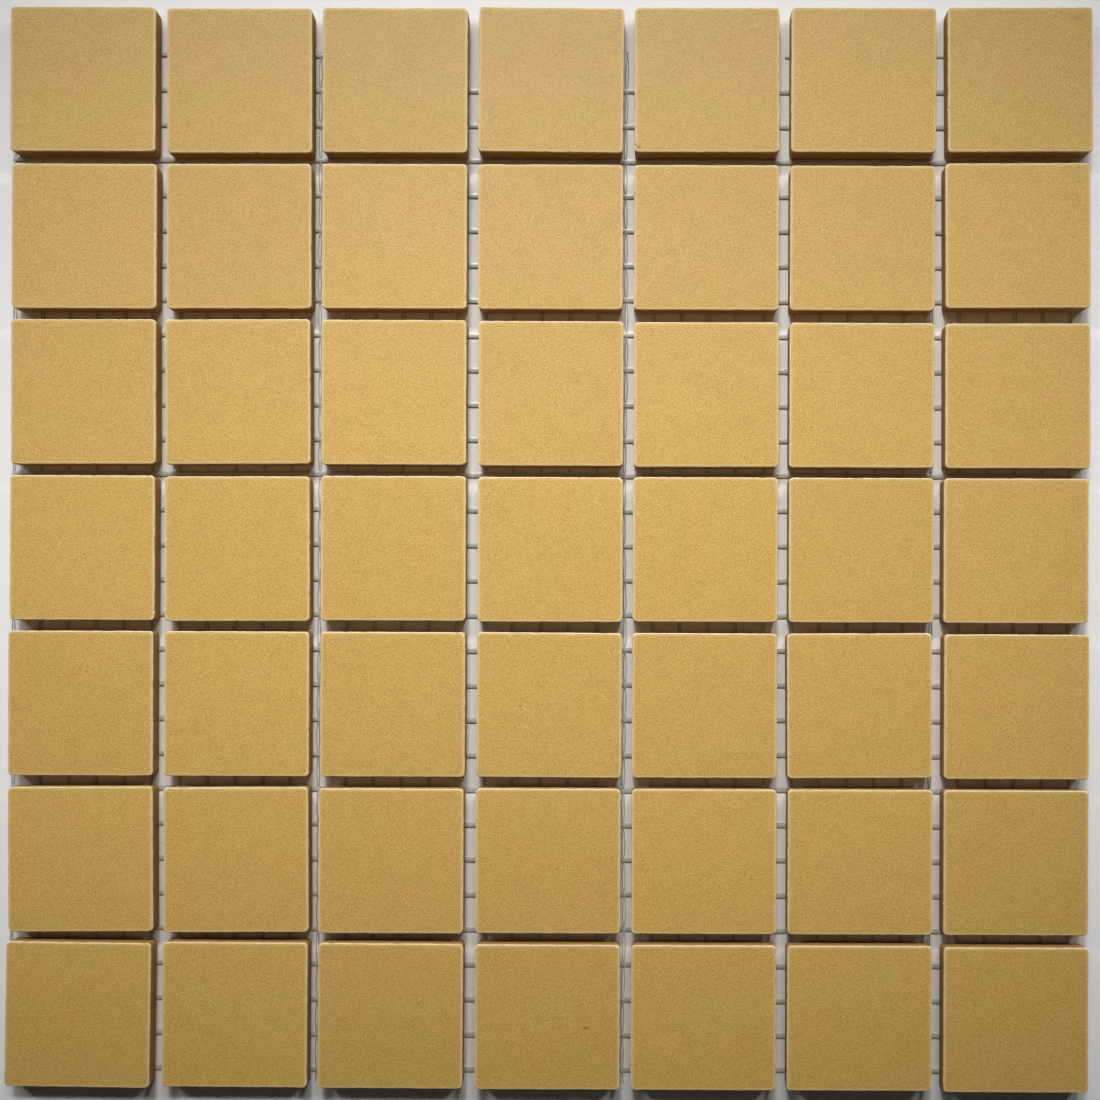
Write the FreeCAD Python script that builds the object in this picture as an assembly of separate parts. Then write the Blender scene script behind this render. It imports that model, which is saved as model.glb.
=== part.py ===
import FreeCAD, Part
import os
from math import atan, degrees

# A mosaic tile sheet: square unglazed tiles, held at an even joint by a coated glass mesh on their backs.
# It lies on the mesh, tile faces up. X runs along a row to the right, and Y up the sheet towards row 1.

# Driving sizes of the tiles, in millimetres
tile_side = 41.0
tile_thickness = 5.0
tile_corner_radius = 1.2
tile_draft = 0.15           # how far each wall leans in between the face and the back
arris_radius = 0.4
joint = 3.0
rows = 7
columns = 7

# Driving sizes of the backing mesh: wefts run along X, and warps run along Y
mesh_thickness = 0.6
warp_pitch = 7.95
warp_width = 1.1
weft_pitch = 10.0
weft_width = 1.3
warp_overhang = 1.1         # the first warp lies this far outside the left tiles
weft_setback = 11.1         # the first weft lies this far inside the top edge of the tiles
weft_end = 0.3              # a cut weft runs on this far past the side of the outer warp
warp_top_end = 0.3          # a cut warp runs on this far past the side of the first weft
warp_bottom_setback = 0.3   # the warps are cut this far inside the bottom edge of the tiles
mesh_panels = 6             # the mesh is one piece, held in this many files that meet face to face

# Tiles that were glued down out of line, as (row, column): right, up and twist, each a share of the joint.
# A twist is how far the right end of the tile's edge is turned up, set against the left end.
strays = {
    (1, 2): (0.05, -0.10, 0.05),
    (1, 4): (0.00, 0.10, -0.10),
    (1, 5): (0.00, 0.15, 0.05),
    (1, 6): (0.05, 0.20, 0.00),
    (1, 7): (0.10, 0.30, 0.10),
    (2, 1): (0.15, -0.10, 0.00),
    (2, 2): (0.05, -0.05, 0.05),
    (2, 7): (-0.05, 0.30, 0.10),
    (3, 1): (0.15, -0.05, 0.05),
    (3, 2): (0.00, 0.00, 0.10),
    (3, 4): (0.10, -0.05, 0.00),
    (3, 5): (0.05, -0.10, 0.05),
    (3, 6): (0.00, -0.10, 0.00),
    (3, 7): (0.00, -0.10, 0.05),
    (4, 1): (0.10, -0.05, 0.00),
    (4, 2): (0.00, -0.10, 0.05),
    (4, 4): (0.10, -0.05, 0.00),
    (4, 7): (-0.10, 0.00, 0.00),
    (5, 4): (0.05, 0.00, -0.05),
    (5, 6): (-0.10, 0.05, 0.10),
    (6, 1): (0.05, 0.00, 0.10),
    (6, 2): (0.00, 0.00, 0.10),
    (6, 3): (-0.10, -0.05, 0.00),
    (7, 1): (-0.15, 0.05, -0.15),
    (7, 2): (-0.05, 0.10, -0.05),
    (7, 3): (-0.10, 0.05, -0.05),
    (7, 7): (0.05, -0.10, 0.00),
}

# What follows from the driving sizes
tile_pitch = tile_side + joint
sheet_width = columns * tile_side + (columns - 1) * joint
sheet_height = rows * tile_side + (rows - 1) * joint
tile_back = mesh_thickness
tile_face = tile_back + tile_thickness
first_warp = -sheet_width / 2 - warp_overhang
warp_count = int((sheet_width + warp_overhang - warp_width / 2) / warp_pitch) + 1
first_weft = sheet_height / 2 - weft_setback
warp_foot = -sheet_height / 2 + warp_bottom_setback
weft_count = int((first_weft - weft_width / 2 - warp_foot) / weft_pitch) + 1


def rounded_square(side, radius, height):
    """The outline of a square with round corners about the Z axis, at a height."""
    half = side / 2
    flat = half - radius
    outline = []
    for quarter in range(4):
        run = Part.makeLine((half, -flat, height), (half, flat, height))
        bend = Part.makeCircle(radius, FreeCAD.Vector(flat, flat, height), FreeCAD.Vector(0, 0, 1), 0, 90)
        for edge in (run, bend):
            edge.rotate(FreeCAD.Vector(), FreeCAD.Vector(0, 0, 1), 90 * quarter)
            outline.append(edge)
    return Part.Wire(outline)


def tile():
    """One pressed tile about the Z axis, its walls leaning in to the back and its face's edge eased."""
    back = rounded_square(tile_side - 2 * tile_draft, tile_corner_radius - tile_draft, tile_back)
    face = rounded_square(tile_side, tile_corner_radius, tile_face)
    block = Part.makeLoft([back, face], True, True)
    face_edges = [edge for edge in block.Edges if edge.BoundBox.ZMin > tile_face - arris_radius]
    return block.makeFillet(arris_radius, face_edges)


def placed_tile(blank, row, column):
    """A copy of the tile at its row and column, with its stray from the even grid."""
    right, up, twist = strays.get((row, column), (0, 0, 0))
    copy = blank.copy()
    copy.rotate(FreeCAD.Vector(), FreeCAD.Vector(0, 0, 1), degrees(atan(twist * joint / tile_side)))
    x = (column - (columns + 1) / 2) * tile_pitch + right * joint
    y = ((rows + 1) / 2 - row) * tile_pitch + up * joint
    copy.translate(FreeCAD.Vector(x, y, 0))
    return copy


def warp_x(number):
    """Where the middle of a warp lies, counted from 0 at the left."""
    return first_warp + number * warp_pitch


def weft_y(number):
    """Where the middle of a weft lies, counted from 0 at the top."""
    return first_weft - number * weft_pitch


def strand_end(middle, half, side, cut):
    """The corners on the way out to a cut strand's end and back, from the side of the mesh to the cut."""
    return [(middle - half, side), (middle - half, cut), (middle + half, cut), (middle + half, side)]


def loop(points):
    """A closed wire through points on the floor, where a point that comes twice in a row counts once."""
    corners = [point for place, point in enumerate(points) if point != points[place - 1]]
    return Part.makePolygon([FreeCAD.Vector(x, y, 0) for x, y in corners + corners[:1]])


def mesh_panel(first, after):
    """The mesh from the first warp up to the one after, cut half way between warps or at its outer edge."""
    half_warp = warp_width / 2
    half_weft = weft_width / 2
    warps = [warp_x(number) for number in range(first, after)]
    wefts = [weft_y(number) for number in reversed(range(weft_count))]
    left = warps[0] - half_warp
    right = warps[-1] + half_warp
    bottom = wefts[0] - half_weft
    top = wefts[-1] + half_weft
    left_cut = warps[0] - warp_pitch / 2 if first > 0 else left - weft_end
    right_cut = warps[-1] + warp_pitch / 2 if after < warp_count else right + weft_end
    outline = []
    for x in warps:
        outline += strand_end(x, half_warp, bottom, warp_foot)
    for y in wefts:
        outline += [(x, y) for y, x in strand_end(y, half_weft, right, right_cut)]
    for x in reversed(warps):
        outline += reversed(strand_end(x, half_warp, top, top + warp_top_end))
    for y in reversed(wefts):
        outline += [(x, y) for y, x in reversed(strand_end(y, half_weft, left, left_cut))]
    cells = []
    for west, east in zip(warps, warps[1:]):
        for south, north in zip(wefts, wefts[1:]):
            low = (west + half_warp, south + half_weft)
            high = (east - half_warp, north - half_weft)
            cells.append(loop([low, (low[0], high[1]), high, (high[0], low[1])]))
    return Part.Face([loop(outline)] + cells).extrude(FreeCAD.Vector(0, 0, mesh_thickness))


# All the pieces, by the names of their files
pieces = {}
blank = tile()
for row in range(1, rows + 1):
    for column in range(1, columns + 1):
        pieces[f"tile_r{row}_c{column}"] = placed_tile(blank, row, column)
for panel in range(mesh_panels):
    first = panel * warp_count // mesh_panels
    after = (panel + 1) * warp_count // mesh_panels
    pieces[f"backing_mesh_{panel + 1}"] = mesh_panel(first, after)

# The sheet is moved so that its frame stands at the middle of its outline, on the underside of the mesh
corners_x = [corner.X for shape in pieces.values() for corner in shape.Vertexes]
corners_y = [corner.Y for shape in pieces.values() for corner in shape.Vertexes]
low_corner = FreeCAD.Vector(min(corners_x), min(corners_y), 0)
high_corner = FreeCAD.Vector(max(corners_x), max(corners_y), 0)
to_middle = (low_corner + high_corner) * -0.5
os.makedirs("parts", exist_ok=True)
for name, shape in pieces.items():
    shape.translate(to_middle)
    shape.exportStep(f"parts/{name}.step")

print("tiles", rows * columns, "warps", warp_count, "wefts", weft_count)
print("outline", high_corner - low_corner, "height", tile_face)
print("moved by", to_middle)
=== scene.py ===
"""The looks of the mosaic tile sheet: fired tiles with worn edges, a coated glass mesh, and a plain stage."""
import math
import random

import bmesh
import bpy
from mathutils import Matrix, Vector


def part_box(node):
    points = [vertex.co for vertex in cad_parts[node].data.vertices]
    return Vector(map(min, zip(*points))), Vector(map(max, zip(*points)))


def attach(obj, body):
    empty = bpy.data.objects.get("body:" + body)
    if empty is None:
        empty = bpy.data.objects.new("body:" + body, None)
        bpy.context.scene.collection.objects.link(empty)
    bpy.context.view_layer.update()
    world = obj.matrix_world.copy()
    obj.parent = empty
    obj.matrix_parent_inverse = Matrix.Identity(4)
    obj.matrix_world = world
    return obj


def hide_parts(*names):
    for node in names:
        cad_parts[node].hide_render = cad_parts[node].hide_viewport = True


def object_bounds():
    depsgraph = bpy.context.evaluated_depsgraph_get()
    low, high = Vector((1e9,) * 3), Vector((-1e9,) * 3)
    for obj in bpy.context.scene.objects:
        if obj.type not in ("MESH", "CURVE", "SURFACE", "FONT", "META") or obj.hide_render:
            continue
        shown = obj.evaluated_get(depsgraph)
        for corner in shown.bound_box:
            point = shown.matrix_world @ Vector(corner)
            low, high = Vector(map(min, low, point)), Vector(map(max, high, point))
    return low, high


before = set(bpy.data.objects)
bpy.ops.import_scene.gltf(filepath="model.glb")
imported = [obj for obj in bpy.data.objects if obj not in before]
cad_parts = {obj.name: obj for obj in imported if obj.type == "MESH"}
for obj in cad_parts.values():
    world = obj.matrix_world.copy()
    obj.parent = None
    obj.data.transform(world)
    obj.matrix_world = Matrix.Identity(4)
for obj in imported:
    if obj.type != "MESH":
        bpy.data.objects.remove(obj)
cad_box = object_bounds()

bl_info = {
    "name": "Mosaic Tile Sheet",
    "version": (1, 0, 0),
    "blender": (4, 5, 0),
    "location": "View3D > Sidebar > Tile Sheet",
    "description": "Makes a sheet of unglazed mosaic tiles on a coated glass mesh, with a floor, lamps and a camera",
    "category": "Add Mesh",
}

MM = 0.001
ROWS = 7
COLUMNS = 7
PANELS = 6

# What the frame says of the tiles and the mesh
TILE_NODES = [(row, column, f"tile_r{row}_c{column}") for row in range(1, ROWS + 1) for column in range(1, COLUMNS + 1)]
TILE_BOXES = {node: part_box(node) for row, column, node in TILE_NODES}
TILE_SIDE = min(high.x - low.x for low, high in TILE_BOXES.values())
TILE_BACK, TILE_FACE = (corner.z for corner in TILE_BOXES["tile_r1_c1"])
GRID_MIDDLE = sum((*TILE_BOXES["tile_r4_c3"], *TILE_BOXES["tile_r4_c5"]), Vector()) / 4
TILE_PITCH = (TILE_BOXES["tile_r4_c5"][0].x - TILE_BOXES["tile_r4_c3"][0].x) / 2
MESH_NODES = [f"backing_mesh_{number}" for number in range(1, PANELS + 1)]
MESH_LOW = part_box(MESH_NODES[0])[0]
MESH_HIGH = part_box(MESH_NODES[-1])[1]

CAMERA_HEIGHT = 339 * MM    # above the tile faces, from how the far walls of the joints show
PHOTO_SIDE = 1100           # pixels
FOCAL_PIXELS = 1203
PHOTO_GRID_MIDDLE = (549.2, 549.0)
SHEET_ROLL = math.radians(0.237)    # the sheet lies turned clockwise in the view by this


def quantity(name, description, default, **kind):
    """A number among the looks, with its unit or its limits."""
    return bpy.props.FloatProperty(name=name, description=description, default=default, **kind)


def span(name, description, default):
    """A length among the looks."""
    return quantity(name, description, default, unit="LENGTH", precision=5)


def paint(name, description, default):
    """A colour among the looks."""
    return bpy.props.FloatVectorProperty(
        name=name, description=description, default=default, subtype="COLOR", size=3, min=0, max=1)


class TileLook(bpy.types.PropertyGroup):
    corner_radius: span("Corner radius", "Radius of a tile's upright edges", 1.2 * MM)
    arris_radius: span("Arris radius", "Radius of the edge round a tile's face", 0.4 * MM)
    draft: span("Draft", "How far a wall leans in towards the back", 0.15 * MM)
    waviness: span("Waviness", "Depth of the slow waves that firing leaves in a face", 0.06 * MM)
    edge_wear: span("Edge wear", "Depth of the crumbled stretches along an arris", 0.22 * MM)
    nibbles: bpy.props.IntProperty(
        name="Nibbles", description="Small chips round the face of each tile", default=18, min=0)
    body_colour: paint("Body colour", "Colour of the fired body", (0.604, 0.376, 0.092))
    blush_colour: paint("Blush", "Colour of the pinker patches of the body", (0.630, 0.364, 0.096))
    dark_colour: paint("Dark specks", "Colour of iron specks, and of the shade painted into small pits", (0.190, 0.088, 0.025))
    pale_colour: paint("Pale specks", "Colour of pale grains, of rubbed edges and of the painted highlight on the arrises", (0.860, 0.690, 0.400))
    stain_colour: paint("Stain", "Colour of the faint brown stains", (0.440, 0.235, 0.070))
    rim_wear: quantity("Rim wear", "How pale the face is rubbed along its edge", 0.30, min=0, max=1)
    # Painted shade: the walls below the arris are darkened towards this colour, as the joints lie in shade
    wall_shade_colour: paint("Wall colour", "Colour of the shade painted on the walls", (0.270, 0.115, 0.004))
    painted_wall_shade: quantity("Painted wall shade", "How much shade is painted on the walls below the arris", 0.75, min=0, max=1)


class MeshLook(bpy.types.PropertyGroup):
    warp_pitch: span("Warp pitch", "From one strand down the sheet to the next", 7.95 * MM)
    weft_pitch: span("Weft pitch", "From one strand across the sheet to the next", 10.0 * MM)
    warp_width: span("Warp width", "Width of a pair of twisted yarns", 1.1 * MM)
    weft_width: span("Weft width", "Width of a flattened strand across the sheet", 1.3 * MM)
    cut_end: span("Cut end", "How far a cut strand runs on past the last strand that it crosses", 0.3 * MM)
    coating_colour: paint("Coating colour", "Colour of the resin-coated glass", (0.540, 0.545, 0.500))
    dust_colour: paint("Dust", "Colour of tile dust caught between the fibres", (0.360, 0.300, 0.210))


class StageLook(bpy.types.PropertyGroup):
    # Painted shade: the floor under the sheet is warmer and darker, as if lit by light bounced off the tiles
    painted_shade_floor: paint("Painted floor shade", "Colour of the floor under the sheet, with warm shade painted on it as if lit by light bounced off the tiles",
                       (0.925, 0.900, 0.855))
    floor_colour: paint("Floor colour", "Colour of the pale floor", (0.955, 0.957, 0.958))
    sky_colour: paint("Sky colour", "Colour of the even light all round", (0.022, 0.021, 0.019))
    window_power: quantity("Window power", "Power of the window of light", 2.2, unit="POWER", min=0)
    spot_power: quantity("Spot power", "Power of a spot of the fan whose share is 1", 23.6, unit="POWER", min=0)
    light_elevation: quantity("Light elevation", "How high the lamps stand beyond the top of the sheet",
                              math.radians(46), subtype="ANGLE")
    light_azimuth: quantity("Light azimuth", "How far the lamps stand to the right of straight beyond the top",
                            math.radians(-6), subtype="ANGLE")
    shift_x: quantity("Lens shift across", "Share of the frame by which the lens is shifted", -0.058)
    shift_y: quantity("Lens shift up", "Share of the frame by which the lens is shifted", 0.06)


# Ways of working that the pieces share

def deselect_all():
    """Leave edit mode and select nothing."""
    if bpy.context.object and bpy.context.object.mode != "OBJECT":
        bpy.ops.object.mode_set(mode="OBJECT")
    bpy.ops.object.select_all(action="DESELECT")


def take(*pieces):
    """Select these pieces alone, the last one active."""
    deselect_all()
    for piece in pieces:
        piece.select_set(True)
    bpy.context.view_layer.objects.active = pieces[-1]


def pick(kind, test):
    """In edit mode, select the VERT, EDGE or FACE parts that pass a test, and nothing else."""
    bpy.ops.mesh.select_mode(type=kind)
    bpy.ops.mesh.select_all(action="DESELECT")
    shape = bpy.context.edit_object.data
    net = bmesh.from_edit_mesh(shape)
    parts = {"VERT": net.verts, "EDGE": net.edges, "FACE": net.faces}[kind]
    parts.ensure_lookup_table()
    for part in parts:
        if test(part):
            part.select_set(True)
    bmesh.update_edit_mesh(shape)


def settle():
    """Give the selected piece's place, turn and size to its points."""
    bpy.ops.object.transform_apply(location=True, rotation=True, scale=True)


def apply_modifiers(piece):
    """Apply the piece's modifiers, in their order."""
    take(piece)
    for modifier in list(piece.modifiers):
        bpy.ops.object.modifier_apply(modifier=modifier.name)


def waves(name, size, depth=0, intensity=1.0, contrast=1.0):
    """A cloud texture for displacement, with features of about this size."""
    texture = bpy.data.textures.new(name, type="CLOUDS")
    texture.noise_scale = size
    texture.noise_depth = depth
    texture.intensity = intensity
    texture.contrast = contrast
    texture.use_clamp = True
    return texture


def displace(piece, texture, strength, direction="NORMAL", middle=1.0, group=""):
    """Add a displacement that reads the texture at the piece's own place in the sheet."""
    modifier = piece.modifiers.new(texture.name, "DISPLACE")
    modifier.texture = texture
    modifier.texture_coords = "LOCAL"
    modifier.direction = direction
    modifier.strength = strength
    modifier.mid_level = middle
    modifier.vertex_group = group


def smooth(piece, angle):
    """Shade smooth, but for edges sharper than the angle in degrees."""
    take(piece)
    bpy.ops.object.shade_smooth_by_angle(angle=math.radians(angle))


# Materials

def new_tree(material):
    """The material's empty node tree."""
    material.use_nodes = True
    material.node_tree.nodes.clear()
    return material.node_tree


def feed(tree, socket, value):
    """Give an input its value, or link it to the output that makes it."""
    if isinstance(value, bpy.types.NodeSocket):
        tree.links.new(value, socket)
    else:
        socket.default_value = value


def add(tree, kind, place, values=None, **settings):
    """A node at a place in the tree, with its settings and the values of its inputs."""
    node = tree.nodes.new(kind)
    node.location = place
    for name, value in settings.items():
        setattr(node, name, value)
    for name, value in (values or {}).items():
        feed(tree, node.inputs[name], value)
    return node


def new_group(name, inputs, outputs):
    """A shader node group with inputs as (name, kind, value) and outputs as (name, kind)."""
    group = bpy.data.node_groups.new(name, "ShaderNodeTree")
    for label, kind, value in inputs:
        socket = group.interface.new_socket(label, in_out="INPUT", socket_type=kind)
        if value is not None:
            socket.default_value = value
    for label, kind in outputs:
        group.interface.new_socket(label, in_out="OUTPUT", socket_type=kind)
    start = group.nodes.new("NodeGroupInput")
    start.location = (-900, 0)
    end = group.nodes.new("NodeGroupOutput")
    end.location = (900, 0)
    return group, start.outputs, end.inputs


def ramp(tree, place, value, low, high):
    """A smooth step of a value from 0 at low to 1 at high."""
    return add(tree, "ShaderNodeMapRange", place, {"Value": value, 1: low, 2: high},
               interpolation_type="SMOOTHSTEP").outputs[0]


def math_node(tree, place, operation, first, second):
    """One sum of two values."""
    return add(tree, "ShaderNodeMath", place, {0: first, 1: second}, operation=operation).outputs[0]


def vector_node(tree, place, operation, first, second=(0, 0, 0)):
    """One sum of vectors."""
    return add(tree, "ShaderNodeVectorMath", place, {0: first, 1: second}, operation=operation).outputs[0]


def noise(tree, place, vector, scale, detail):
    """A cloud pattern, as a value from 0 to 1."""
    return add(tree, "ShaderNodeTexNoise", place, {"Vector": vector, "Scale": scale, "Detail": detail}).outputs["Fac"]


def mix(tree, place, share, first, second, blend="MIX"):
    """Two colours mixed by a share."""
    node = add(tree, "ShaderNodeMix", place, data_type="RGBA", blend_type=blend)
    for name, kind, value in (("Factor", "VALUE", share), ("A", "RGBA", first), ("B", "RGBA", second)):
        if kind == "RGBA" and not isinstance(value, bpy.types.NodeSocket):
            value = (*value, 1)
        feed(tree, next(item for item in node.inputs if item.name == name and item.type == kind), value)
    return next(item for item in node.outputs if item.type == "RGBA")


def lay_over(tree, place, mask, most, under, over):
    """A colour laid over another where a mask says, up to a share."""
    return mix(tree, place, math_node(tree, (place[0], place[1] - 240), "MULTIPLY", mask, most), under, over)


GRAIN_LAYERS = ((1.0, 0.85), (2.7, 0.16), (9.0, 0.10))     # times the grain size, and how strong


def grain_group(name):
    """Fine mottling at three sizes, as a value about 1 that a colour is multiplied by, and as a height."""
    group, given, result = new_group(
        name,
        [("Place", "NodeSocketVector", None), ("Grain size", "NodeSocketFloat", 0.35 * MM),
         ("Strength", "NodeSocketFloat", 0.1)],
        [("Shade", "NodeSocketFloat"), ("Height", "NodeSocketFloat")])
    layers = []
    for number, (times, weight) in enumerate(GRAIN_LAYERS):
        size = math_node(group, (-700, -220 * number), "MULTIPLY", given["Grain size"], times)
        scale = math_node(group, (-520, -220 * number), "DIVIDE", 1.0, size)
        cloud = add(group, "ShaderNodeTexNoise", (-340, -220 * number),
                    {"Vector": given["Place"], "Scale": scale, "Detail": 1.0, "Roughness": 0.6})
        centred = math_node(group, (-160, -220 * number), "SUBTRACT", cloud.outputs["Fac"], 0.5)
        layers.append(math_node(group, (20, -220 * number), "MULTIPLY", centred, weight))
    fine = math_node(group, (200, 0), "ADD", layers[0], layers[1])
    total = math_node(group, (380, -100), "ADD", fine, layers[2])
    shade = math_node(group, (560, -100), "MULTIPLY", total, given["Strength"])
    group.links.new(math_node(group, (740, -100), "ADD", shade, 1.0), result["Shade"])
    group.links.new(fine, result["Height"])
    return group


def specks_group(name):
    """Round specks of two kinds, each in some cells of one pattern: two masks, with how often and how large given."""
    group, given, result = new_group(
        name,
        [("Place", "NodeSocketVector", None), ("Spacing", "NodeSocketFloat", 3 * MM),
         ("Radius", "NodeSocketFloat", 0.15 * MM), ("Share", "NodeSocketFloat", 0.5),
         ("Other share", "NodeSocketFloat", 0.0)],
        [("Mask", "NodeSocketFloat"), ("Other mask", "NodeSocketFloat")])
    scale = math_node(group, (-700, 0), "DIVIDE", 1.0, given["Spacing"])
    cells = add(group, "ShaderNodeTexVoronoi", (-520, 0), {"Vector": given["Place"], "Scale": scale})
    split = add(group, "ShaderNodeSeparateColor", (-340, -160), {"Color": cells.outputs["Color"]})
    radius = math_node(group, (-340, 60), "DIVIDE", given["Radius"], given["Spacing"])
    uneven = math_node(group, (-160, 0), "ADD", split.outputs["Green"], 0.4)
    reach = math_node(group, (20, 0), "MULTIPLY", radius, uneven)
    nearness = math_node(group, (200, 0), "DIVIDE", cells.outputs["Distance"], reach)
    spot = ramp(group, (380, 0), nearness, 1.3, 0.6)
    present = math_node(group, (380, -200), "LESS_THAN", split.outputs["Red"], given["Share"])
    group.links.new(math_node(group, (560, 0), "MULTIPLY", spot, present), result["Mask"])
    past = math_node(group, (380, -400), "ADD", split.outputs["Red"], given["Other share"])
    other = math_node(group, (560, -400), "GREATER_THAN", past, 1.0)
    group.links.new(math_node(group, (740, -400), "MULTIPLY", spot, other), result["Other mask"])
    return group


def smudge_group(name):
    """One soft oval mark on the sheet, as ragged at its edge as the value given: a mask."""
    group, given, result = new_group(
        name,
        [("Place", "NodeSocketVector", None), ("Middle", "NodeSocketVector", (0, 0, 0)),
         ("Size", "NodeSocketVector", (MM, MM, MM)), ("Raggedness", "NodeSocketFloat", 0.5)],
        [("Mask", "NodeSocketFloat")])
    away = vector_node(group, (-700, 0), "SUBTRACT", given["Place"], given["Middle"])
    scaled = vector_node(group, (-520, 0), "DIVIDE", away, given["Size"])
    distance = add(group, "ShaderNodeVectorMath", (-340, 0), {0: scaled}, operation="LENGTH")
    reach = math_node(group, (20, 0), "ADD", distance.outputs["Value"], given["Raggedness"])
    group.links.new(ramp(group, (200, 0), reach, 1.25, 0.35), result["Mask"])
    return group


def use_group(tree, name, place, values):
    """The outputs of a shared group placed in a material. The group is made when it is first needed."""
    group = bpy.data.node_groups.get(name) or GROUP_MAKERS[name](name)
    return add(tree, "ShaderNodeGroup", place, values, node_tree=group).outputs


def on_sheet(x, y):
    """A point of the photograph's view, in pixels, as a place on the tile faces."""
    scale = CAMERA_HEIGHT / FOCAL_PIXELS
    across = (x - PHOTO_GRID_MIDDLE[0]) * scale
    up = (PHOTO_GRID_MIDDLE[1] - y) * scale
    turned = Matrix.Rotation(SHEET_ROLL, 2) @ Vector((across, up))
    return GRID_MIDDLE.x + turned.x, GRID_MIDDLE.y + turned.y


# Marks on single faces: middle in pixels of the view, half width and half height in millimetres, and depth of tone
DARK_MARKS = (
    ((586, 1028), (2.2, 0.6), 0.85),
    ((638, 147), (1.3, 1.1), 0.85),
)
STAINS = (
    ((600, 965), (4.0, 2.4), 0.40),
    ((1078, 18), (5.0, 2.6), 0.55),
)

TONE_SPREAD = 0.025             # how much paler or darker than the rest a tile can be
TILE_GRAIN = 0.46 * MM
BLUSH_CLOUDS = 75.0             # to a metre, and so the other clouds
RAGGED_CLOUDS = 900.0
RUBBED_CLOUDS = 420.0
FIBRE_CLOUDS = 6500.0
DUST_CLOUDS = 650.0
# What the colour of the body is multiplied by in its darkest and palest grains
DARK_GRAIN = (0.50, 0.39, 0.02)
PALE_GRAIN = (1.50, 1.61, 1.98)
BLUSH_SHARE = 0.5
SPECK_SHARE = 0.42              # how much of their own colour the specks show
# how dark the shade painted into small pits is
PIT_SHADE_SHARE = 0.85
ARRIS_WEAR_AND_HIGHLIGHT = 0.85              # how pale an arris is, rubbed and with a painted highlight
FACE_ROUGHNESS = (0.48, 0.60)   # from the low to the high places of the grain
WALL_ROUGHNESS = 0.38           # what the walls have more than the face


def tile_tone(tree, place):
    """Each tile's own tone, from which tile of the grid it is."""
    grid = vector_node(tree, (-2000, 500), "SUBTRACT", place, GRID_MIDDLE)
    cell = vector_node(tree, (-1820, 500), "DIVIDE", grid, (TILE_PITCH, TILE_PITCH, 1))
    centred = vector_node(tree, (-1730, 660), "ADD", cell, (0.5, 0.5, 0.5))
    rounded = vector_node(tree, (-1640, 500), "SNAP", centred, (1, 1, 1))
    batch = add(tree, "ShaderNodeTexWhiteNoise", (-1460, 500), {"Vector": rounded})
    return add(tree, "ShaderNodeMapRange", (-1280, 500),
               {"Value": batch.outputs["Value"], 3: 1 - TONE_SPREAD, 4: 1 + TONE_SPREAD}).outputs[0]


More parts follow.
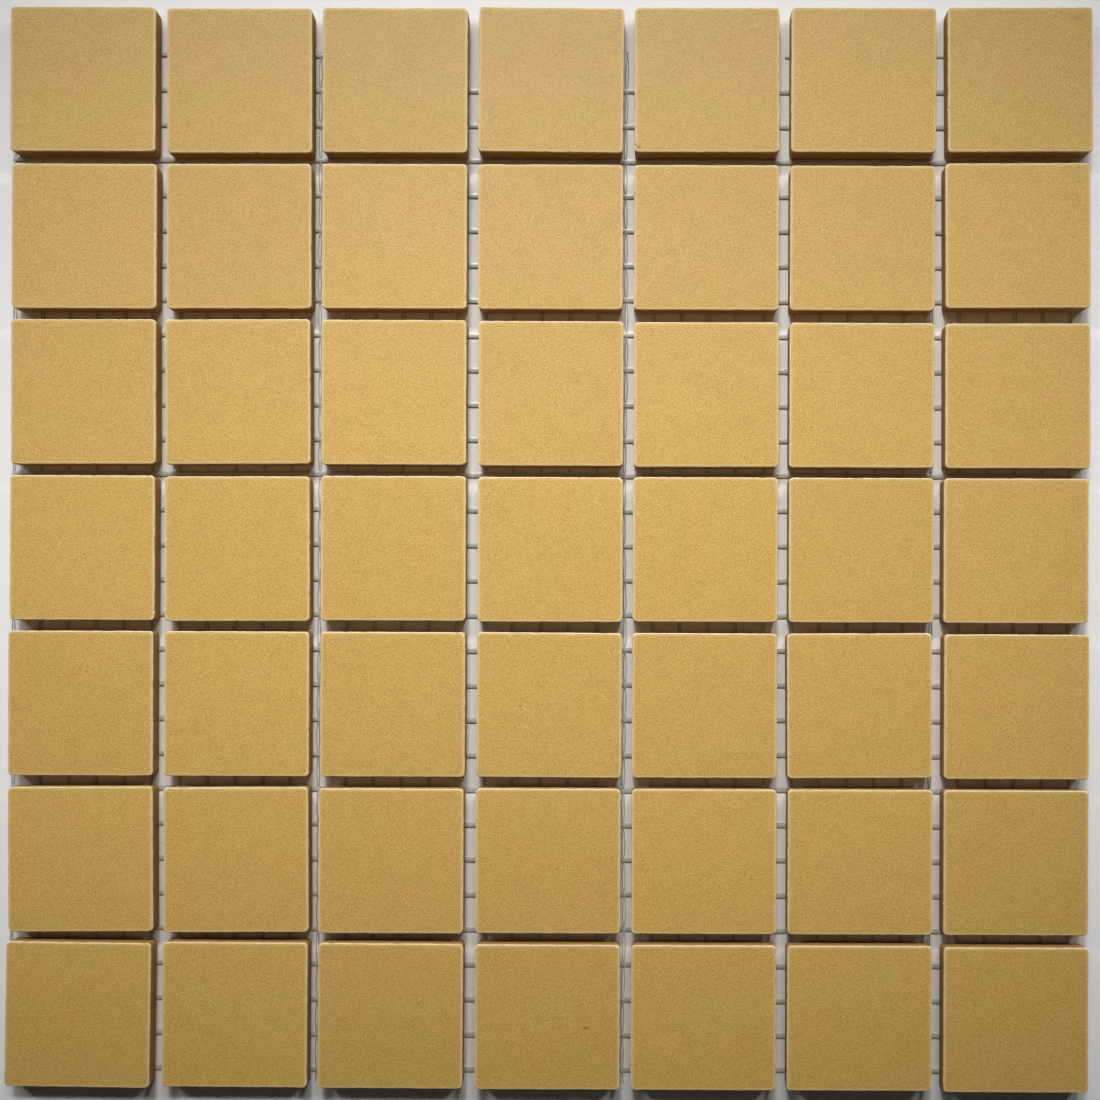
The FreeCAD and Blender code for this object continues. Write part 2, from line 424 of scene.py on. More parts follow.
def fired_clay(look):
    """Unglazed ceramic: fine grain, iron specks, pale grains, small pits painted as dark shade, edges rubbed paler with
    a painted highlight, and painted shade on the walls.
    """
    material = bpy.data.materials.new("fired_clay")
    tree = new_tree(material)
    place = add(tree, "ShaderNodeTexCoord", (-2200, 0)).outputs["Object"]

    # The body, its grain, its specks, and the shade painted into its small pits
    grain = use_group(tree, "Fired grain", (-2000, 0), {"Place": place, "Grain size": TILE_GRAIN, "Strength": 1.0})
    clouds = noise(tree, (-2000, -300), place, BLUSH_CLOUDS, 1.0)
    warm = lay_over(tree, (-1460, 200), ramp(tree, (-1820, -300), clouds, 0.46, 0.66), BLUSH_SHARE,
                    look.body_colour, look.blush_colour)
    toned = mix(tree, (-1100, 300), 1.0, warm, tile_tone(tree, place), "MULTIPLY")
    grain_tint = mix(tree, (-1100, 0), math_node(tree, (-1280, 0), "SUBTRACT", grain["Shade"], 0.5),
                     DARK_GRAIN, PALE_GRAIN)
    body = mix(tree, (-920, 200), 1.0, toned, grain_tint, "MULTIPLY")
    specks = use_group(tree, "Scattered specks", (-1460, -500),
                       {"Place": place, "Spacing": 1.8 * MM, "Radius": 0.19 * MM, "Share": 0.42, "Other share": 0.34})
    body = lay_over(tree, (-740, 200), specks["Mask"], SPECK_SHARE, body, look.dark_colour)
    body = lay_over(tree, (-560, 200), specks["Other mask"], SPECK_SHARE, body, look.pale_colour)
    # Painted shade: small pits are dark spots in the colour alone, with no hollow in the face
    pits = use_group(tree, "Scattered specks", (-1460, -900),
                     {"Place": place, "Spacing": 11.0 * MM, "Radius": 0.22 * MM, "Share": 0.60})
    body = lay_over(tree, (-380, 200), pits["Mask"], PIT_SHADE_SHARE, body, look.dark_colour)

    # Marks on single faces, which share one ragged edge
    ragged = math_node(tree, (-1640, -1150), "MULTIPLY", noise(tree, (-1820, -1150), place, RAGGED_CLOUDS, 2.0), 0.9)
    marks = [(mark, look.dark_colour) for mark in DARK_MARKS] + [(mark, look.stain_colour) for mark in STAINS]
    for number, ((middle, half, depth), colour) in enumerate(marks):
        mark = use_group(tree, "Smudge", (-1460, -1150 - 220 * number),
                         {"Place": place, "Middle": (*on_sheet(*middle), TILE_FACE),
                          "Size": (half[0] * MM, half[1] * MM, 2 * MM), "Raggedness": ragged})
        body = lay_over(tree, (-200 + 160 * number, 200), mark["Mask"], depth, body, colour)

    # Arrises rubbed paler and painted with a highlight, where the surface is neither face nor wall, and the rim of the
    # face beside them rubbed paler
    facing = add(tree, "ShaderNodeNewGeometry", (-1460, -1900)).outputs["Normal"]
    upward = add(tree, "ShaderNodeSeparateXYZ", (-1280, -1900), {0: facing}).outputs["Z"]
    off_face = ramp(tree, (-1100, -1850), upward, 0.998, 0.96)
    off_wall = ramp(tree, (-1100, -2050), upward, 0.02, 0.22)
    arris = math_node(tree, (-920, -1900), "MULTIPLY", off_face, off_wall)
    patches = ramp(tree, (-920, -2250), noise(tree, (-1100, -2250), place, RUBBED_CLOUDS, 1.0), 0.1, 0.6)
    # Partly real wear and partly a painted highlight: the arrises are made paler, in patches
    rubbed = math_node(tree, (-740, -1900), "MULTIPLY", arris, patches)
    body = lay_over(tree, (340, 200), rubbed, ARRIS_WEAR_AND_HIGHLIGHT, body, look.pale_colour)
    rim = add(tree, "ShaderNodeAttribute", (-1100, -2450), attribute_name=RIM_GROUP).outputs["Fac"]
    body = lay_over(tree, (430, 200), ramp(tree, (-920, -2450), rim, 0.25, 0.95), look.rim_wear,
                    body, look.pale_colour)

    # Painted shade: the walls are darkened below the arris, as the narrow joints between the tiles lie in shade
    height_up = add(tree, "ShaderNodeSeparateXYZ", (160, 500), {0: place}).outputs["Z"]
    wall = math_node(tree, (340, 700), "MULTIPLY", ramp(tree, (160, 700), upward, 0.6, 0.1),
                     ramp(tree, (340, 500), height_up, TILE_FACE - 0.2 * MM, TILE_FACE - 1.2 * MM))
    body = lay_over(tree, (520, 200), wall, look.painted_wall_shade, body, look.wall_shade_colour)

    low, high = FACE_ROUGHNESS
    rough = add(tree, "ShaderNodeMapRange", (340, -100), {"Value": grain["Height"], 1: -0.3, 2: 0.3, 3: low, 4: high})
    dull = math_node(tree, (520, -100), "ADD", rough.outputs[0],
                     math_node(tree, (340, -400), "MULTIPLY", wall, WALL_ROUGHNESS))
    bump = add(tree, "ShaderNodeBump", (520, -400), {"Strength": 0.3, "Distance": 0.06 * MM, "Height": grain["Height"]})
    shader = add(tree, "ShaderNodeBsdfPrincipled", (760, 200),
                 {"Base Color": body, "Roughness": dull, "Normal": bump.outputs[0], "Specular IOR Level": 0.62})
    add(tree, "ShaderNodeOutputMaterial", (1060, 200), {"Surface": shader.outputs[0]})
    return material


def strand_group(name):
    """Glass fibres that run along a strand: a height and a mask of the dust between them."""
    group, given, result = new_group(
        name,
        [("Place", "NodeSocketVector", None), ("Stretch", "NodeSocketVector", (1, 1, 1))],
        [("Height", "NodeSocketFloat"), ("Dust", "NodeSocketFloat")])
    drawn = vector_node(group, (-700, 0), "MULTIPLY", given["Place"], given["Stretch"])
    fibres = noise(group, (-520, 0), drawn, FIBRE_CLOUDS, 2.0)
    group.links.new(fibres, result["Height"])
    dusty = ramp(group, (-340, -260), noise(group, (-520, -260), given["Place"], DUST_CLOUDS, 3.0), 0.5, 0.8)
    between = ramp(group, (-340, 0), fibres, 0.55, 0.35)
    group.links.new(math_node(group, (-160, -100), "MULTIPLY", dusty, between), result["Dust"])
    return group


GROUP_MAKERS = {"Fired grain": grain_group, "Scattered specks": specks_group, "Smudge": smudge_group,
                "Glass fibres": strand_group}
DUST_SHARE = 0.6        # how much of its own colour the dust shows


def coated_glass(name, look, stretch):
    """White resin over glass fibres, whose pattern is drawn out along the strand by a small factor of its scale."""
    material = bpy.data.materials.new(name)
    tree = new_tree(material)
    place = add(tree, "ShaderNodeTexCoord", (-900, 0)).outputs["Object"]
    fibres = use_group(tree, "Glass fibres", (-700, 0), {"Place": place, "Stretch": stretch})
    colour = lay_over(tree, (-300, 200), fibres["Dust"], DUST_SHARE, look.coating_colour, look.dust_colour)
    rough = add(tree, "ShaderNodeMapRange", (-300, -100), {"Value": fibres["Height"], 3: 0.30, 4: 0.50})
    bump = add(tree, "ShaderNodeBump", (-300, -350),
               {"Strength": 0.5, "Distance": 0.05 * MM, "Height": fibres["Height"]})
    shader = add(tree, "ShaderNodeBsdfPrincipled", (0, 200),
                 {"Base Color": colour, "Roughness": rough.outputs[0], "Normal": bump.outputs[0],
                  "Coat Weight": 0.35, "Coat Roughness": 0.2})
    add(tree, "ShaderNodeOutputMaterial", (300, 200), {"Surface": shader.outputs[0]})
    return material


# The tiles

FACE_CELLS = 30         # squares along the face of a blank
CORNER_STEPS = 6
ARRIS_STEPS = 3
HAIR = 0.01 * MM        # closer than this counts as the same place
RIM_GROUP = "rim"
RIM_BAND = 0.9 * MM     # how far in from the arris the rim reaches
WORN_DEPTH = 1.5 * MM   # how far below the face an edge crumbles in full
WALL_WEAR = 0.4         # and what share of that is left further down


def blank_tile(look):
    """A pressed tile at the origin: a fine-meshed face, round corners, a soft arris and walls with draft."""
    half = TILE_SIDE / 2
    side = half - look.arris_radius - look.draft
    deselect_all()
    bpy.ops.mesh.primitive_grid_add(x_subdivisions=FACE_CELLS, y_subdivisions=FACE_CELLS, size=TILE_SIDE,
                                    location=(0, 0, TILE_BACK))
    blank = bpy.context.object
    blank.name = "blank_tile"
    settle()
    bpy.ops.object.mode_set(mode="EDIT")
    pick("VERT", lambda vert: min(abs(vert.co.x), abs(vert.co.y)) > half - HAIR)
    bpy.ops.mesh.bevel(offset=look.corner_radius, segments=CORNER_STEPS, affect="VERTICES")
    bpy.ops.mesh.select_all(action="SELECT")
    bpy.ops.mesh.extrude_region_move(TRANSFORM_OT_translate={"value": (0, 0, TILE_FACE - TILE_BACK)})
    bpy.ops.mesh.select_all(action="SELECT")
    bpy.ops.mesh.normals_make_consistent(inside=False)
    pick("FACE", lambda face: face.calc_center_median().z < TILE_BACK + HAIR)
    bpy.ops.mesh.dissolve_faces()
    bpy.ops.transform.resize(value=((half - look.draft) / half, (half - look.draft) / half, 1),
                             center_override=(0, 0, TILE_BACK))
    pick("EDGE", lambda edge: len(edge.link_faces) == 2 and min(vert.co.z for vert in edge.verts) > TILE_FACE - HAIR
         and min(abs(face.normal.z) for face in edge.link_faces) < 0.5)
    bpy.ops.mesh.bevel(offset=look.arris_radius, segments=ARRIS_STEPS, affect="EDGES")
    # The walls get rows of points between the arris and the back, and the long level edges one point each
    pick("EDGE", lambda edge: abs(edge.verts[0].co.z - edge.verts[1].co.z) > 3 * MM)
    bpy.ops.mesh.subdivide(number_cuts=2)
    pick("EDGE", lambda edge: edge.calc_length() > 0.9 * MM
         and abs(edge.verts[0].co.z - edge.verts[1].co.z) < HAIR
         and all(max(abs(vert.co.x), abs(vert.co.y)) > side and vert.co.z > TILE_BACK + HAIR for vert in edge.verts))
    bpy.ops.mesh.subdivide(number_cuts=1)
    bpy.ops.object.mode_set(mode="OBJECT")
    rim = blank.vertex_groups.new(name=RIM_GROUP)
    for vert in blank.data.vertices:
        outward = max(abs(vert.co.x), abs(vert.co.y)) > half - look.arris_radius - HAIR
        if outward and vert.co.z > TILE_BACK + HAIR:
            rim.add([vert.index], 1.0 if vert.co.z > TILE_FACE - WORN_DEPTH else WALL_WEAR, "REPLACE")
    return blank


def tile_turn(node):
    """How far the frame's tile is turned, from the direction of its right wall."""
    faces = [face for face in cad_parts[node].data.polygons if face.normal.x > 0.9]
    wall = max(faces, key=lambda face: face.area)
    return math.atan2(wall.normal.y, wall.normal.x)


def rim_point(look, along):
    """A point on the arris, the way out of it and its side's turn, from how far round it is, from 0 to 4."""
    half = TILE_SIDE / 2
    inset = look.arris_radius * (1 - math.sqrt(0.5))
    side = int(along) % 4
    run = (along % 1 - 0.5) * 2 * (half - look.corner_radius)
    turn = Matrix.Rotation(math.pi / 2 * side, 3, "Z")
    return turn @ Vector((half - inset, run, TILE_FACE - inset)), turn @ Vector((1, 0, 1)).normalized(), turn


# Larger chips at edges: place in pixels of the view, length along the edge and depth in millimetres
EDGE_CHIPS = (
    ((152, 527), 1.3, 0.30),
    ((152, 612), 0.9, 0.35),
    ((160, 516), 0.7, 0.28),
    ((160, 544), 0.7, 0.30),
    ((637, 147), 1.8, 0.42),
    ((779, 57), 1.0, 0.35),
    ((1074, 9), 2.2, 0.28),
    ((1092, 12), 2.6, 0.22),
    ((949, 108), 1.2, 0.30),
    ((640, 931), 0.8, 0.30),
    ((697, 932), 1.0, 0.32),
    ((694, 931), 0.7, 0.30),
    ((256, 148), 0.8, 0.30),
    ((78, 1084), 0.8, 0.28),
)
# Small pits in the faces: places in pixels of the view
FACE_PITS = ((260, 104), (1052, 35), (1000, 51), (106, 1081), (492, 1081))
PIT_SIZE = (0.24 * MM, 0.2 * MM, 0.22 * MM)
RIM_TRIES = 80          # points tried along each side of a tile, to find the one nearest to a chip
CHIP_STRETCH = 1.25
NIBBLE_RADII = (0.16, 0.42)     # in millimetres
NIBBLE_DEPTHS = (0.25, 0.6)     # as shares of the radius
NIBBLE_STRETCHES = (1.0, 2.6)


def nearest_rim(look, local):
    """The rim point of a tile at the origin that lies nearest to a point."""
    tries = [rim_point(look, step / RIM_TRIES) for step in range(4 * RIM_TRIES)]
    return min(tries, key=lambda found: (found[0] - local).length)


def lumps_for(node, look, place, dice):
    """The chips and pits of one tile, as middle, half sizes and turn: its own larger ones, then small nibbles."""
    low, high = TILE_BOXES[node]
    back = place.inverted()
    spin = place.to_3x3()
    lumps = []
    for pixel, length, depth in EDGE_CHIPS:
        x, y = on_sheet(*pixel)
        if low.x - 1 * MM < x < high.x + 1 * MM and low.y - 1 * MM < y < high.y + 1 * MM:
            point, outward, turn = nearest_rim(look, back @ Vector((x, y, TILE_FACE)))
            radius = length / 2 * MM
            middle = place @ (point + outward * (radius - depth * MM))
            lumps.append((middle, (radius, radius * CHIP_STRETCH, radius), spin @ turn))
    for pixel in FACE_PITS:
        x, y = on_sheet(*pixel)
        if low.x < x < high.x and low.y < y < high.y:
            lumps.append((Vector((x, y, TILE_FACE)), PIT_SIZE, spin))
    for number in range(look.nibbles):
        along = 4 * (number + dice.uniform(0.1, 0.9)) / look.nibbles
        radius = dice.uniform(*NIBBLE_RADII) * MM
        depth = radius * dice.uniform(*NIBBLE_DEPTHS)
        point, outward, turn = rim_point(look, along)
        middle = place @ (point + outward * (radius - depth))
        lumps.append((middle, (radius, radius * dice.uniform(*NIBBLE_STRETCHES), radius), spin @ turn))
    return lumps


def first_ball(location):
    """A tiny ball in edit mode, to which others are added."""
    deselect_all()
    bpy.ops.mesh.primitive_ico_sphere_add(subdivisions=1, radius=0.1 * MM, location=location)
    settle()
    bpy.ops.object.mode_set(mode="EDIT")
    return bpy.context.object


def chips_for(node, look, place, dice):
    """One mesh of the lumps that are cut from a tile: drawn-out balls, none of which touches another."""
    chips = first_ball(place @ Vector((0, 0, 2 * TILE_FACE)))
    chips.name = "chips"
    kept = []
    for middle, size, turn in lumps_for(node, look, place, dice):
        if all((middle - other).length > max(size) + reach for other, reach in kept):
            kept.append((middle, max(size)))
            bpy.ops.mesh.primitive_ico_sphere_add(subdivisions=2, radius=1, location=middle, scale=size,
                                                  rotation=turn.to_euler())
    bpy.ops.object.mode_set(mode="OBJECT")
    return chips


def mark_rim(tile, look, place):
    """An attribute of the tile that rises from 0 on its face to 1 at its arris."""
    back = place.inverted()
    flat = TILE_SIDE / 2 - look.corner_radius
    rim = tile.data.attributes.new(RIM_GROUP, "FLOAT", "POINT")
    for vert in tile.data.vertices:
        local = back @ vert.co
        past = Vector((abs(local.x) - flat, abs(local.y) - flat))
        outside = Vector((max(past.x, 0), max(past.y, 0))).length + min(max(past), 0) - look.corner_radius
        rim.data[vert.index].value = min(1, max(0, 1 + (outside + look.arris_radius) / RIM_BAND))


def fired_tile(blank, row, column, node, look, clay, textures):
    """One tile in its place in the sheet, with its own waves, worn edges and chips."""
    low, high = TILE_BOXES[node]
    middle = (low + high) / 2
    place = Matrix.Translation((middle.x, middle.y, 0)) @ Matrix.Rotation(tile_turn(node), 4, "Z")
    tile = blank.copy()
    tile.data = blank.data.copy()
    tile.name = f"fired_tile_r{row}_c{column}"
    tile.data.name = tile.name
    bpy.context.collection.objects.link(tile)
    tile.matrix_world = place
    take(tile)
    settle()
    wave, crumble = textures
    displace(tile, wave, look.waviness)
    displace(tile, crumble, look.edge_wear, group=RIM_GROUP)
    chips = chips_for(node, look, place, random.Random(f"chips of {node}"))
    cut = tile.modifiers.new("chips", "BOOLEAN")
    cut.object = chips
    cut.operation = "DIFFERENCE"
    cut.solver = "EXACT"
    apply_modifiers(tile)
    if len(tile.data.polygons) < FACE_CELLS ** 2:
        raise RuntimeError(f"the chips cut too much from {node}")
    bpy.data.objects.remove(chips)
    tile.vertex_groups.clear()
    mark_rim(tile, look, place)
    tile.data.materials.clear()
    tile.data.materials.append(clay)
    smooth(tile, angle=38)
    tile.modifiers.new("flat faces", "WEIGHTED_NORMAL").keep_sharp = True
    apply_modifiers(tile)
    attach(tile, "root")
    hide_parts(node)


class MakeTiles(bpy.types.Operator):
    """Make the fired tiles, each in its place on the mesh"""
    bl_idname = "tile_sheet.make_tiles"
    bl_label = "Make Tiles"

    def execute(self, context):
        look = context.scene.tile_look
        clay = fired_clay(look)
        textures = (waves("slow waves", size=9 * MM, intensity=1.2),
                    waves("crumbled edge", size=1.1 * MM, depth=2, intensity=1.5, contrast=2.4))
        blank = blank_tile(look)
        for row, column, node in TILE_NODES:
            fired_tile(blank, row, column, node, look, clay, textures)
        bpy.data.objects.remove(blank)
        return {"FINISHED"}


# The glass mesh

YARN_RADIUS = 0.165 * MM
YARN_SIDES = 6
YARN_STEPS = 8          # for each weft that it passes
YARN_OPENING = 0.6      # under 1, a pair opens quickly past a weft and stays open
WEFT_SIDES = 8
WEFT_STEPS = 6          # for each warp that it passes
WEFT_THICKNESS = 0.46 * MM
WEFT_SPREAD = 1.12      # how much wider than its CAD bar a flattened strand lies
WEFT_PINCH = (1, 0.92, 0.94)    # its size where a warp grips it, across the sheet, up the sheet and upright
END_PLAY = 0.3 * MM     # room for the strands' ends to wander inside the part's outline
MESH_PLAY = 0.06 * MM   # room for the strands' uneven surface under the tiles and over the floor
SLACK = 0.7 * MM        # how far the strands wander, from one side to the other
UNEVENNESS = 0.12 * MM
DROP_SIZES = (0.35, 0.75)   # half widths of the lumps of resin, in millimetres
DROP_HEIGHT = 0.24          # half of it, in millimetres
MESH_MIDDLE = (MESH_LOW.z + MESH_HIGH.z) / 2

# Where the first weft is still there, in pixels across the view, and how thick it is: the rest has frayed away
FIRST_WEFT_RUNS = (((-20, 398), 1.0), ((788, 930), 0.6), ((930, 1090), 0.45))


def warp_x(look, number):
    """Where the middle of a warp lies, counted from 0 at the left."""
    return MESH_LOW.x + look.cut_end + look.warp_width / 2 + number * look.warp_pitch


def weft_y(look, number):
    """Where the middle of a weft lies, counted from 0 at the top."""
    return MESH_HIGH.y - look.cut_end - look.weft_width / 2 - number * look.weft_pitch


def warp_count(look):
    """How many warps the mesh has."""
    return round((MESH_HIGH.x - warp_x(look, 0) - look.cut_end - look.warp_width / 2) / look.warp_pitch) + 1


def weft_count(look):
    """How many wefts the mesh has."""
    return int((weft_y(look, 0) - look.weft_width / 2 - MESH_LOW.y) / look.weft_pitch) + 1


def yarn(look, side):
    """One yarn of a pair, from one weft to the second next: over the first, then across and under the other."""
    swing = look.warp_width / 2 - YARN_RADIUS
    rise = (MESH_HIGH.z - MESH_LOW.z) / 2 - YARN_RADIUS - MESH_PLAY

    def centre(step):
        phase = math.pi * step / YARN_STEPS
        opening = math.copysign(abs(math.sin(phase)) ** YARN_OPENING, math.sin(phase))
        return Vector((side * swing * opening, -step * look.weft_pitch / YARN_STEPS, side * rise * math.cos(phase)))

    deselect_all()
    bpy.ops.mesh.primitive_circle_add(vertices=YARN_SIDES, radius=YARN_RADIUS, location=centre(0),
                                      rotation=(math.pi / 2, 0, 0))
    strand = bpy.context.object
    settle()
    bpy.ops.object.mode_set(mode="EDIT")
    bpy.ops.mesh.select_all(action="SELECT")
    for step in range(2 * YARN_STEPS):
        bpy.ops.mesh.extrude_region_move(TRANSFORM_OT_translate={"value": centre(step + 1) - centre(step)})
    bpy.ops.mesh.select_all(action="SELECT")
    bpy.ops.mesh.normals_make_consistent(inside=False)
    bpy.ops.object.mode_set(mode="OBJECT")
    return strand


def repeat(piece, count, offset):
    """Repeat the piece along a fixed step, and join what meets."""
    modifier = piece.modifiers.new("repeat", "ARRAY")
    modifier.count = count
    modifier.use_relative_offset = False
    modifier.use_constant_offset = True
    modifier.constant_offset_displace = offset
    modifier.use_merge_vertices = True
    modifier.merge_threshold = HAIR


def cut_off(piece, at, way):
    """Cut away what lies past a plane, and close the cuts."""
    take(piece)
    bpy.ops.object.mode_set(mode="EDIT")
    bpy.ops.mesh.select_all(action="SELECT")
    bpy.ops.mesh.bisect(plane_co=at, plane_no=way, use_fill=True, clear_outer=True)
    bpy.ops.object.mode_set(mode="OBJECT")


def warps(look, first, after, coating):
    """The twisted pairs from one warp up to another, cut at the top and the foot of the mesh."""
    take(*[yarn(look, side) for side in (-1, 1)])
    bpy.ops.object.join()
    bundle = bpy.context.object
    repeat(bundle, weft_count(look) // 2 + 2, (0, -2 * look.weft_pitch, 0))
    repeat(bundle, after - first, (look.warp_pitch, 0, 0))
    apply_modifiers(bundle)
    bundle.location = (warp_x(look, first), weft_y(look, -2), MESH_MIDDLE)
    settle()
    cut_off(bundle, (0, MESH_HIGH.y, 0), (0, 1, 0))
    cut_off(bundle, (0, MESH_LOW.y, 0), (0, -1, 0))
    bundle.data.materials.append(coating)
    return bundle


def weft(look, number, left, right, coating, share=1.0):
    """One flattened strand from left to right, pinched where the warps grip it."""
    middle = (0, weft_y(look, number), MESH_MIDDLE)
    deselect_all()
    bpy.ops.mesh.primitive_cylinder_add(
        vertices=WEFT_SIDES, radius=look.weft_width * share / 2, depth=right - left, end_fill_type="NGON",
        location=((left + right) / 2, middle[1], middle[2]), rotation=(math.pi / 2, math.pi / WEFT_SIDES, math.pi / 2))
    strand = bpy.context.object
    settle()
    bpy.ops.object.mode_set(mode="EDIT")
    bpy.ops.mesh.select_all(action="SELECT")
    bpy.ops.transform.resize(value=(1, WEFT_SPREAD, WEFT_THICKNESS / look.weft_width), center_override=middle)
    pick("EDGE", lambda edge: edge.calc_length() > (right - left) / 2)
    steps = max(2, round((right - left) / look.warp_pitch * WEFT_STEPS))
    bpy.ops.mesh.subdivide(number_cuts=steps - 1)

    def gripped(vert):
        place = (vert.co.x - warp_x(look, 0)) / look.warp_pitch
        return abs(place - round(place)) < 0.51 / WEFT_STEPS
    pick("VERT", gripped)
    bpy.ops.transform.resize(value=WEFT_PINCH, center_override=middle)
    bpy.ops.object.mode_set(mode="OBJECT")
    strand.data.materials.append(coating)
    return strand


def in_a_joint(x, y):
    """Whether a crossing shows between the tiles."""
    room = 1 * MM
    return not any(low.x + room < x < high.x - room and low.y + room < y < high.y - room
                   for low, high in TILE_BOXES.values())


def resin_drops(look, first, after, coating, dice):
    """Lumps of resin that hardened on the crossings, where they show in the joints."""
    drops = first_ball((warp_x(look, first), weft_y(look, 1), MESH_MIDDLE))
    for warp in range(first, after):
        for number in range(1, weft_count(look)):
            x = warp_x(look, warp)
            y = weft_y(look, number)
            size = dice.uniform(*DROP_SIZES)
            if in_a_joint(x, y):
                bpy.ops.mesh.primitive_ico_sphere_add(
                    subdivisions=2, radius=1 * MM, location=(x + dice.uniform(-0.2, 0.2) * MM, y, MESH_MIDDLE),
                    scale=(size, size * 1.1, DROP_HEIGHT), rotation=(0, 0, dice.uniform(0, math.pi)))
    bpy.ops.object.mode_set(mode="OBJECT")
    drops.data.materials.append(coating)
    return drops


def glass_mesh(panel, look, coatings, textures):
    """One panel of the mesh: wefts between twisted warps, a little uneven, with resin on the crossings."""
    first = panel * warp_count(look) // PANELS
    after = (panel + 1) * warp_count(look) // PANELS
    left = warp_x(look, first) - look.warp_pitch / 2 if panel > 0 else MESH_LOW.x + END_PLAY
    right = warp_x(look, after - 1) + look.warp_pitch / 2 if panel < PANELS - 1 else MESH_HIGH.x - END_PLAY
    warp_coating, weft_coating = coatings
    rows = weft(look, 1, left, right, weft_coating)
    repeat(rows, weft_count(look) - 1, (0, -look.weft_pitch, 0))
    apply_modifiers(rows)
    strands = [rows, warps(look, first, after, warp_coating)]
    for pixels, share in FIRST_WEFT_RUNS:
        run_left, run_right = (on_sheet(pixel, 0)[0] for pixel in pixels)
        if max(left, run_left) < min(right, run_right) - 1 * MM:
            strands.append(weft(look, 0, max(left, run_left), min(right, run_right), weft_coating, share))
    strands.append(resin_drops(look, first, after, warp_coating, random.Random(f"drops of panel {panel}")))
    take(*strands)
    bpy.ops.object.join()
    piece = bpy.context.object
    piece.name = f"glass_mesh_{panel + 1}"
    piece.data.name = piece.name
    sideways, uneven = textures
    displace(piece, sideways, SLACK, "X", middle=0.5)
    displace(piece, sideways, SLACK, "Y", middle=0.5)
    displace(piece, uneven, UNEVENNESS, middle=0.6)
    apply_modifiers(piece)
    smooth(piece, angle=60)
    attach(piece, "root")
    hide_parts(MESH_NODES[panel])


class MakeMesh(bpy.types.Operator):
    """Make the coated glass mesh under the tiles, in its panels"""
    bl_idname = "tile_sheet.make_mesh"
    bl_label = "Make Mesh"

    def execute(self, context):
        look = context.scene.mesh_look
        coatings = (coated_glass("coated_warp", look, (1, 0.06, 1)), coated_glass("coated_weft", look, (0.06, 1, 1)))
        textures = (waves("slack strands", size=35 * MM), waves("uneven strands", size=1.1 * MM))
        for panel in range(PANELS):
            glass_mesh(panel, look, coatings, textures)
        return {"FINISHED"}


# The stage

# The lamps' distances from the middle of the sheet, and their sizes, in metres
WINDOW_REACH = 1.3
WINDOW_SIZE = (0.5, 0.18)
SPOT_REACH = 1.25
SPOT_RADIUS = 0.13
SPOT_OVAL = (0.450, 0.220)      # half width and half height of the oval that a spot lights on the sheet
# The spots: degrees from the lamps' azimuth and elevation, share of the power, and where on the faces each is aimed
SPOT_FAN = (
    (-46, -15, 0.93, (0.000, 0.000)),
    (-22, 0, 0.31, (-0.090, -0.030)),
    (-5, 0, 1.00, (-0.005, 0.030)),
    (3, 0, 1.00, (-0.005, 0.030)),
    (24, 0, 0.82, (0.030, -0.030)),
    (54, -15, 1.04, (0.000, 0.000)),
)

BACKDROP = (0.90, 0.90, 0.89, 1)
FLOOR_SHADE_BAND = 3 * MM          # the painted warm shade on the floor sets in over this distance, inside the sheet's outline
FLOOR_KEPT = 10 * MM        # the floor keeps its shading this far outside the sheet, shadow and all,
FLOOR_WHITE = 110 * MM      # and is white from here on
SENSOR_WIDTH = 36           # of the camera, in millimetres


def pale_floor(look):
    """The floor's finish: pale, very slightly mottled, with warm shade painted under the sheet, and white further out
    where only the camera sees it.
    """
    material = bpy.data.materials.new("pale_floor")
    tree = new_tree(material)
    place = add(tree, "ShaderNodeTexCoord", (-900, 0)).outputs["Object"]
    grain = use_group(tree, "Fired grain", (-700, 0), {"Place": place, "Grain size": 1.2 * MM, "Strength": 0.05})
    parts = add(tree, "ShaderNodeSeparateXYZ", (-740, 300),
                {0: vector_node(tree, (-900, 300), "ABSOLUTE", place)}).outputs
    edge = cad_box[1]
    inside = [ramp(tree, (-580, row), parts[axis], reach, reach - FLOOR_SHADE_BAND)
              for axis, row, reach in (("X", 400, edge.x), ("Y", 200, edge.y))]
    under = math_node(tree, (-400, 300), "MULTIPLY", *inside)
    # Painted shade: under the sheet the floor takes a warmer, darker colour, as of light bounced off the tiles
    tint = mix(tree, (-300, 200), under, look.floor_colour, look.painted_shade_floor)
    colour = mix(tree, (-200, 100), 1.0, tint, grain["Shade"], "MULTIPLY")
    matt = add(tree, "ShaderNodeBsdfPrincipled", (-100, 0), {"Base Color": colour, "Roughness": 0.7})
    glow = add(tree, "ShaderNodeEmission", (-100, -400), {"Color": BACKDROP})
    beyond = math_node(tree, (-700, -300), "MAXIMUM", parts["X"], parts["Y"])
    far = ramp(tree, (-500, -300), beyond, edge.x + FLOOR_KEPT, edge.x + FLOOR_WHITE)
    seen = add(tree, "ShaderNodeLightPath", (-700, -500)).outputs["Is Camera Ray"]
    share = math_node(tree, (-300, -300), "MULTIPLY", far, seen)
    blend = add(tree, "ShaderNodeMixShader", (150, 0), {0: share, 1: matt.outputs[0], 2: glow.outputs[0]})
    add(tree, "ShaderNodeOutputMaterial", (350, 0), {"Surface": blend.outputs[0]})
    return material


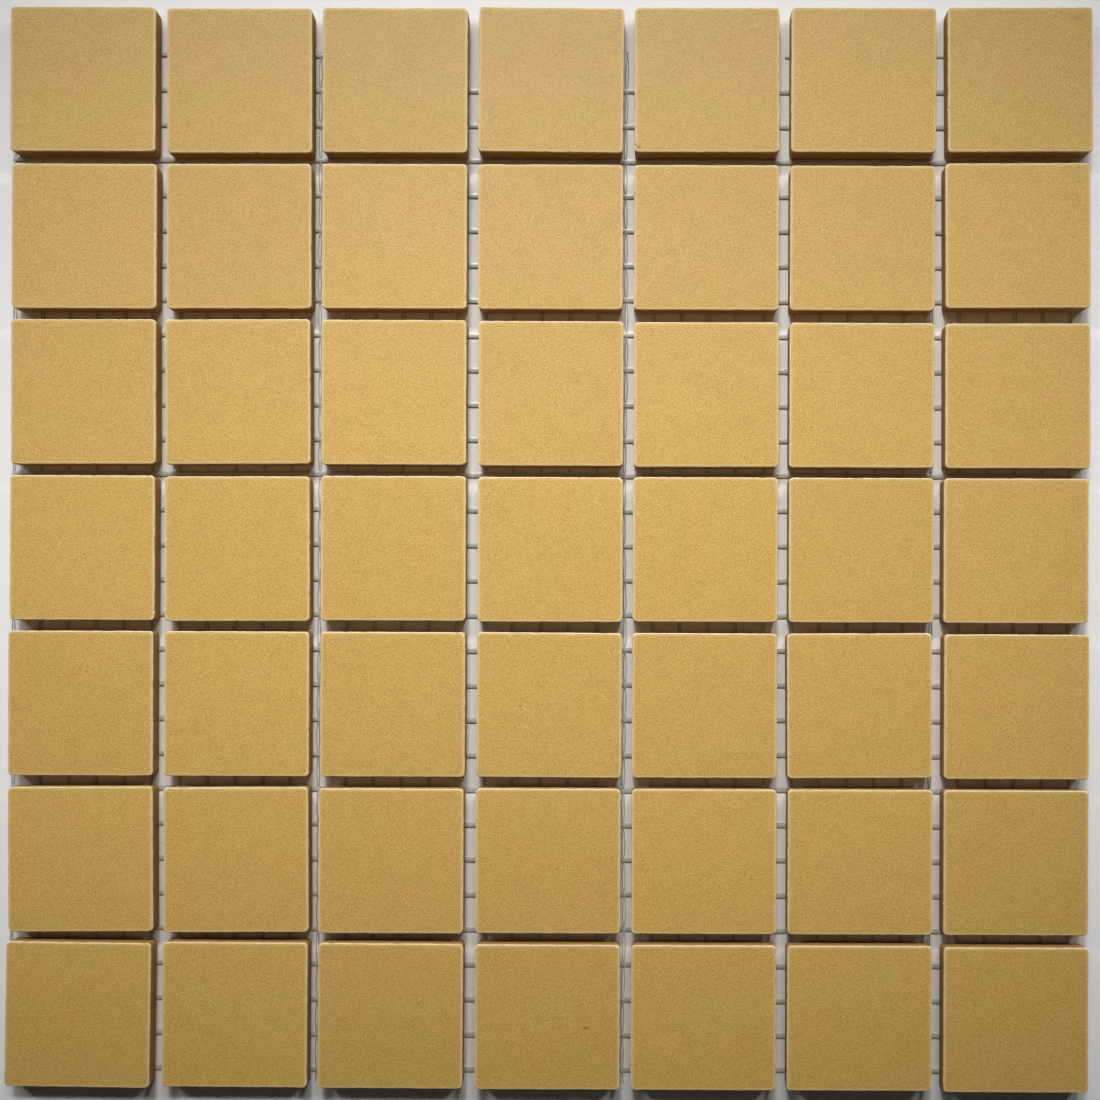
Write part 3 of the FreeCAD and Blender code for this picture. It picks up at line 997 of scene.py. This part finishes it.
def make_world(look):
    """Even light all round, which the camera sees as a pale backdrop."""
    world = bpy.data.worlds.new("soft_sky")
    bpy.context.scene.world = world
    world.use_nodes = True
    tree = world.node_tree
    tree.nodes.clear()
    light = add(tree, "ShaderNodeBackground", (0, 0), {"Color": (*look.sky_colour, 1), "Strength": 1.0})
    backdrop = add(tree, "ShaderNodeBackground", (0, -200), {"Color": BACKDROP, "Strength": 1.0})
    seen = add(tree, "ShaderNodeLightPath", (0, 300)).outputs["Is Camera Ray"]
    blend = add(tree, "ShaderNodeMixShader", (250, 0), {0: seen, 1: light.outputs[0], 2: backdrop.outputs[0]})
    add(tree, "ShaderNodeOutputWorld", (450, 0), {"Surface": blend.outputs[0]})


def aim_lamp(kind, name, power, reach, elevation, azimuth, aim=(0, 0)):
    """A lamp beyond the top of the sheet, turned to a point on the tile faces."""
    level = math.cos(elevation)
    way = Vector((math.sin(azimuth) * level, math.cos(azimuth) * level, math.sin(elevation)))
    bpy.ops.object.light_add(type=kind, location=Vector((*aim, TILE_FACE)) + way * reach,
                             rotation=(elevation - math.pi / 2, 0, -azimuth))
    lamp = bpy.context.object
    lamp.name = name
    lamp.data.energy = power
    return lamp


def make_lamps(look):
    """A low window of light, and a wide fan of soft oval spots that fall off towards the sheet's edges."""
    window = aim_lamp("AREA", "low_window", look.window_power, WINDOW_REACH, look.light_elevation, look.light_azimuth)
    window.data.shape = "RECTANGLE"
    window.data.size, window.data.size_y = WINDOW_SIZE
    across, up = SPOT_OVAL
    for number, (turn, rise, share, aim) in enumerate(SPOT_FAN):
        elevation = look.light_elevation + math.radians(rise)
        spot = aim_lamp("SPOT", f"soft_spot_{number + 1}", look.spot_power * share, SPOT_REACH, elevation,
                        look.light_azimuth + math.radians(turn), aim)
        spot.data.spot_size = 2 * math.atan(across / SPOT_REACH)
        spot.scale.y = up * math.sin(elevation) / across
        spot.data.spot_blend = 1.0
        spot.data.shadow_soft_size = SPOT_RADIUS


def make_camera(look):
    """Straight above the sheet, at the photograph's height, turned as the sheet lies in the view."""
    scale = CAMERA_HEIGHT / FOCAL_PIXELS
    nadir = (PHOTO_SIDE / 2 - look.shift_x * PHOTO_SIDE, PHOTO_SIDE / 2 + look.shift_y * PHOTO_SIDE)
    x, y = on_sheet(*nadir)
    bpy.ops.object.camera_add(location=(x, y, TILE_FACE + CAMERA_HEIGHT), rotation=(0, 0, SHEET_ROLL))
    camera = bpy.context.object
    camera.name = "photo_camera"
    camera.data.sensor_width = SENSOR_WIDTH
    camera.data.sensor_fit = "AUTO"
    camera.data.lens = SENSOR_WIDTH * FOCAL_PIXELS / PHOTO_SIDE
    camera.data.shift_x = look.shift_x
    camera.data.shift_y = look.shift_y
    camera.data.clip_start = 0.01
    bpy.context.scene.camera = camera


class MakeStage(bpy.types.Operator):
    """Make the pale floor, the soft lamps, the sky and the camera"""
    bl_idname = "tile_sheet.make_stage"
    bl_label = "Make Stage"

    def execute(self, context):
        look = context.scene.stage_look
        deselect_all()
        bpy.ops.mesh.primitive_plane_add(size=8, location=(0, 0, 0))
        floor = context.object
        floor.name = "pale_floor"
        floor.data.materials.append(pale_floor(look))
        make_world(look)
        make_lamps(look)
        make_camera(look)
        context.scene.view_settings.view_transform = "Standard"
        return {"FINISHED"}


class TileSheetPanel(bpy.types.Panel):
    bl_idname = "VIEW3D_PT_tile_sheet"
    bl_label = "Tile Sheet"
    bl_space_type = "VIEW_3D"
    bl_region_type = "UI"
    bl_category = "Tile Sheet"

    def draw(self, context):
        for look in (context.scene.tile_look, context.scene.mesh_look, context.scene.stage_look):
            box = self.layout.box()
            for name in look.bl_rna.properties.keys():
                if name not in {"rna_type", "name"}:
                    box.prop(look, name)
        for maker in (MakeTiles, MakeMesh, MakeStage):
            self.layout.operator(maker.bl_idname)


LOOKS = {"tile_look": TileLook, "mesh_look": MeshLook, "stage_look": StageLook}
CLASSES = (*LOOKS.values(), MakeTiles, MakeMesh, MakeStage, TileSheetPanel)


def register():
    for item in CLASSES:
        bpy.utils.register_class(item)
    for name, group in LOOKS.items():
        setattr(bpy.types.Scene, name, bpy.props.PointerProperty(type=group))


def unregister():
    for name in LOOKS:
        delattr(bpy.types.Scene, name)
    for item in reversed(CLASSES):
        bpy.utils.unregister_class(item)


def main():
    register()
    bpy.ops.tile_sheet.make_tiles()
    bpy.ops.tile_sheet.make_mesh()
    bpy.ops.tile_sheet.make_stage()


if __name__ == "__main__":
    main()
